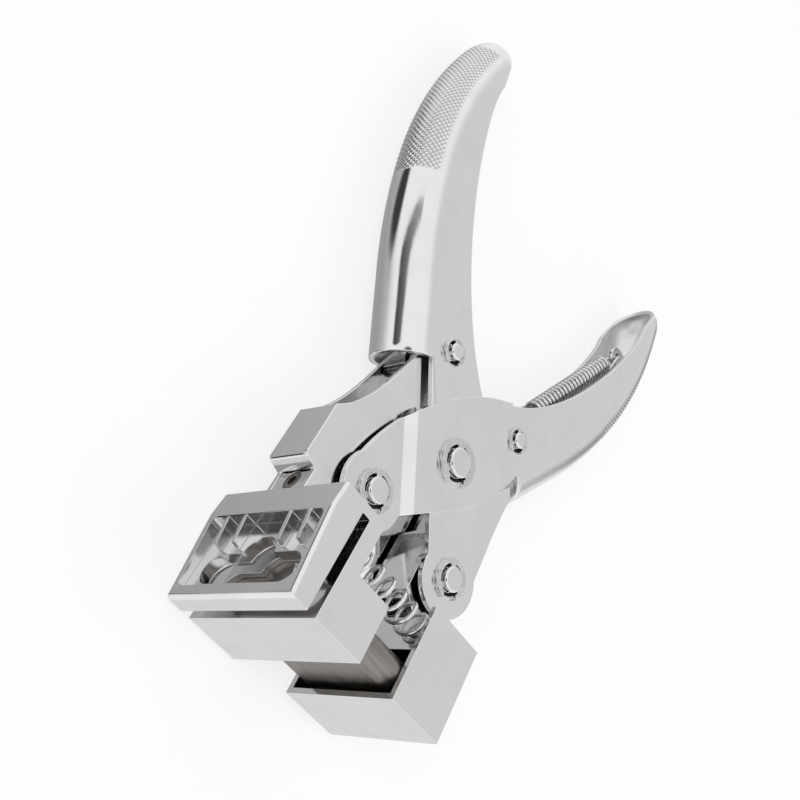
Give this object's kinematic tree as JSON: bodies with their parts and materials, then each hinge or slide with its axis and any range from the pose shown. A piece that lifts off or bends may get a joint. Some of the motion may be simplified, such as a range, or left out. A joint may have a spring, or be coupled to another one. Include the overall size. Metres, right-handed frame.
{
  "type": "hole punch pliers",
  "caption": "Chromed parallel-action hole punch pliers that cut a hat-shaped hanging hole in a bag or card, with a slotted die block and a sprung punch.",
  "frame": {"origin": "middle of the die slot on the punch axis, where a hole is cut", "axes": "+X along the pliers towards the handles, +Y from the punch to the die, +Z along the pivot pins, up when the pliers lie on their side"},
  "size_m": [0.1777, 0.1162, 0.0398],
  "materials": {
    "chromed_sheet": "bright chrome plate on pressed steel",
    "chromed_casting": "satin chrome plate on a die casting",
    "chrome": "bright chrome plate on turned steel",
    "clip_steel": "plated spring steel",
    "tool_steel": "ground tool steel",
    "spring_wire": "plated spring wire"
  },
  "bodies": {
    "die_jaw": {"upper_frame": "chromed_sheet", "die_block": "chromed_casting", "die_plate": "tool_steel", "die_screw": "tool_steel", "jaw_springs": "spring_wire"},
    "lower_lever": {"lower_handle": "chromed_sheet", "main_pivot_pin": "chrome", "main_pivot_clip": "clip_steel", "main_pivot_sleeve": "chrome", "die_jaw_pin": "chrome", "die_jaw_clip": "clip_steel", "punch_slide_pin": "chrome", "punch_slide_clip": "clip_steel", "handle_spring": "spring_wire"},
    "upper_lever": {"upper_handle": "chromed_sheet", "punch_jaw_pin": "chrome", "punch_jaw_clip": "clip_steel", "die_slide_pin": "chrome", "die_slide_clip": "clip_steel"},
    "punch_jaw": {"lower_frame": "chromed_sheet", "punch_holder": "chromed_casting", "punch": "tool_steel", "punch_screws": "tool_steel", "holder_screw": "tool_steel", "spring_post": "tool_steel"}
  },
  "joints": [
    {"name": "die_jaw_pivot", "type": "hinge", "parent": "die_jaw", "child": "lower_lever", "pos_m": [0.02836, -0.00654, 0], "axis": [0, 0, 1], "range_deg": [0, 12]},
    {"name": "handle_squeeze", "type": "hinge", "parent": "lower_lever", "child": "upper_lever", "pos_m": [0.0513, -0.0226, 0], "axis": [0, 0, -1], "range_deg": [0, 24], "stiffness_Nm_per_rad": 1.5, "springref_deg": -17.19, "deforming": ["jaw_springs", "handle_spring"]},
    {"name": "punch_jaw_pivot", "type": "hinge", "parent": "upper_lever", "child": "punch_jaw", "pos_m": [0.02836, -0.03866, 0], "axis": [0, 0, 1], "range_deg": [0, 12]}
  ],
  "couplings": [
    {"joint": "die_jaw_pivot", "follows": "handle_squeeze", "ratio": 0.5},
    {"joint": "punch_jaw_pivot", "follows": "handle_squeeze", "ratio": 0.5}
  ]
}
